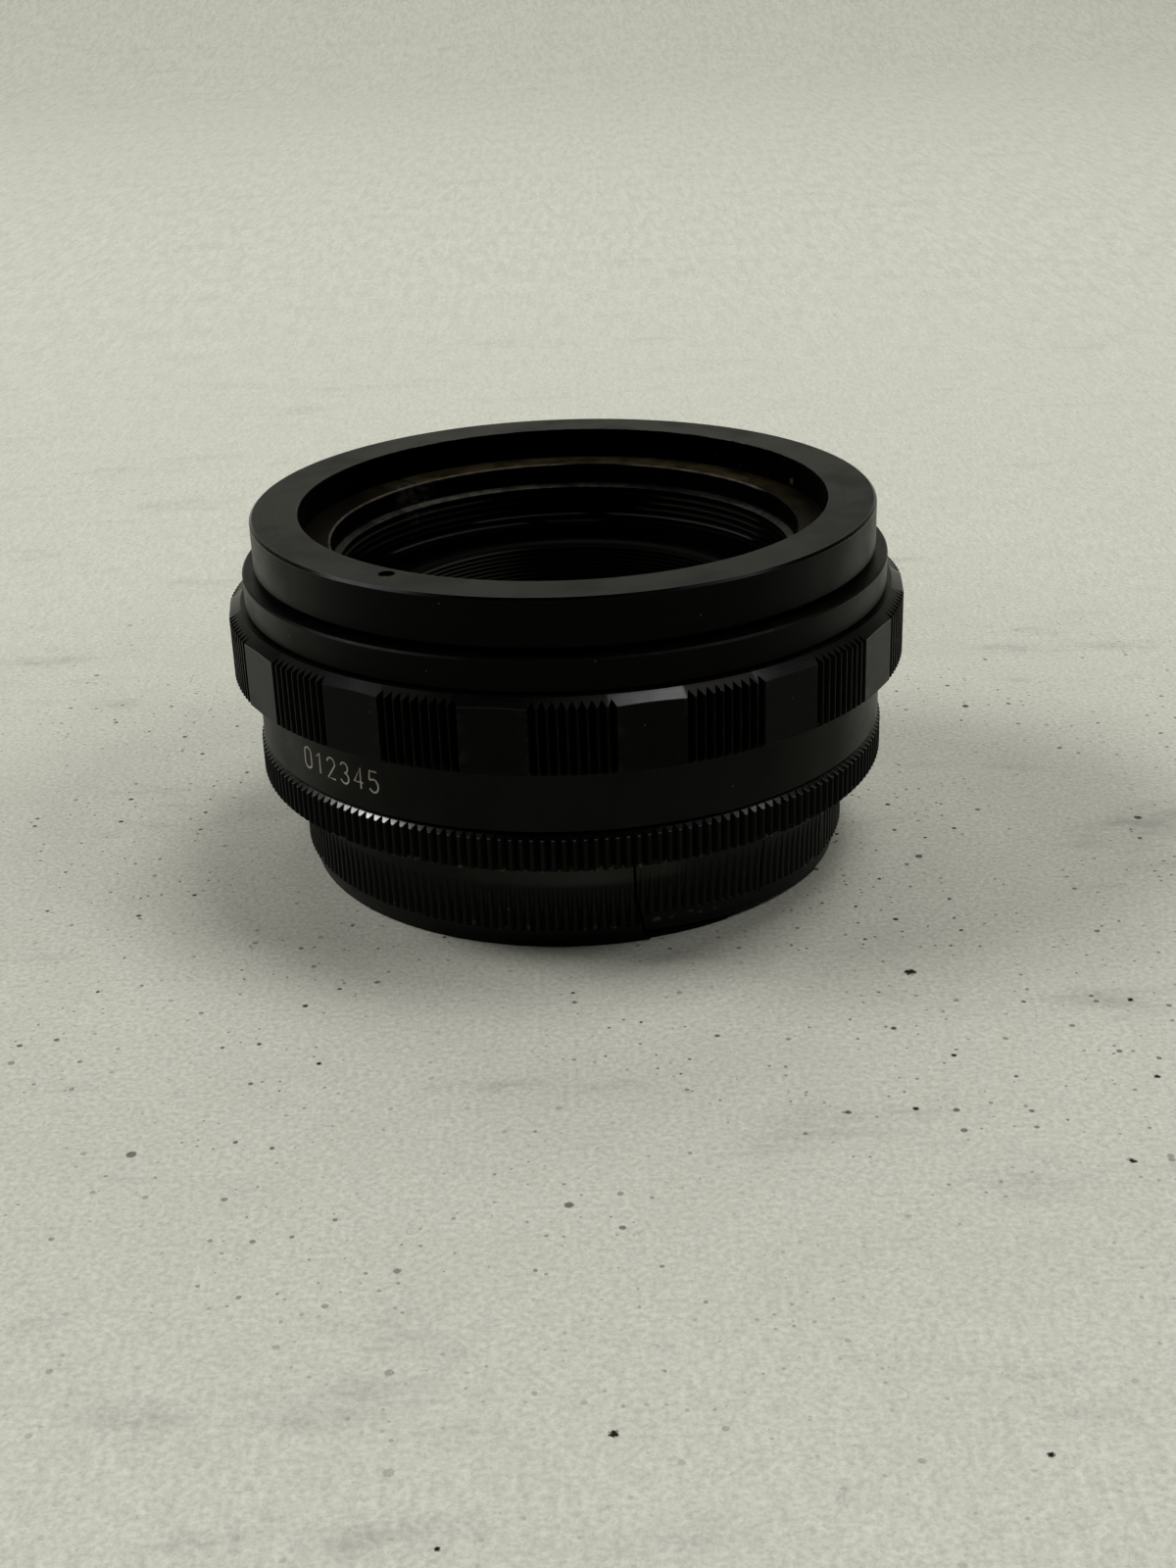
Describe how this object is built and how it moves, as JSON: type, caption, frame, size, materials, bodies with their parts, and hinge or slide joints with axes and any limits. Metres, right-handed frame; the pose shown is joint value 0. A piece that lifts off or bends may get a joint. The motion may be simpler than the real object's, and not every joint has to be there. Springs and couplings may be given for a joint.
{
  "type": "lens focusing mount",
  "caption": "Round black focusing mount for a lens head: a fluted ring turns to slide the threaded front barrel along the axis, over a bayonet flange with a ribbed rear cap.",
  "frame": {"origin": "middle of the rear cap's underside, on the optical axis", "axes": "+Z along the optical axis towards the lens head; -Y towards the engraved side seen in front"},
  "size_m": [0.063, 0.0629, 0.0336],
  "materials": {
    "black_metal": "satin black finish, worn grey on edges",
    "blackened_brass": "matt black wash over brass, brown where rubbed",
    "grip_metal": "satin black finish, ridges polished by hand",
    "cap_plastic": "moulded black plastic, dry and scuffed",
    "chromed_brass": "chromed brass, brushed by use",
    "bare_brass": "machined brass, greased",
    "screw_steel": "blackened steel, worn bright at the slot",
    "sleeve_aluminium": "turned aluminium, dark anodised inside",
    "washer_bronze": "rolled bronze sheet",
    "bead_enamel": "small enamel bead",
    "engraving_paint": "cream paint in the engraved numerals"
  },
  "bodies": {
    "rear_cap": {"rear_cap": "cap_plastic"},
    "mount": {"bayonet_flange": "chromed_brass", "bayonet_flange_screws": "screw_steel", "flange_shim": "washer_bronze", "knurled_flange_ring": "black_metal", "fixed_barrel": "black_metal", "mounting_bead": "bead_enamel", "guide_sleeve": "sleeve_aluminium", "guide_sleeve_screws": "screw_steel", "guide_keys": "bare_brass", "guide_key_screws": "screw_steel", "light_baffle_tube": "blackened_brass", "focus_stop_segment": "bare_brass", "stop_segment_screws": "screw_steel", "thrust_washer": "washer_bronze"},
    "focus_ring": {"focusing_nut": "bare_brass", "retaining_ring": "bare_brass", "retaining_ring_screws": "screw_steel", "stop_pin": "screw_steel", "focus_grip_ring": "grip_metal", "grip_set_screws": "screw_steel", "scale_ring": "black_metal"},
    "front_barrel": {"front_ring": "black_metal", "front_lock_screw": "screw_steel", "lens_seat_ring": "blackened_brass", "helicoid_barrel": "sleeve_aluminium", "helicoid_barrel_screws": "screw_steel"}
  },
  "joints": [
    {"name": "cap_pull", "type": "slide", "parent": "rear_cap", "child": "mount", "axis": [0, 0, 1], "range_m": [0, 0.015]},
    {"name": "focus_turn", "type": "hinge", "parent": "mount", "child": "focus_ring", "pos_m": [0, 0, 0.02], "axis": [0, 0, 1], "range_deg": [0, 300]},
    {"name": "focus_extend", "type": "slide", "parent": "mount", "child": "front_barrel", "axis": [0, 0, 1], "range_m": [0, 0.008]}
  ],
  "couplings": [
    {"joint": "focus_extend", "follows": "focus_turn", "m_per_rad": 0.0015279}
  ]
}
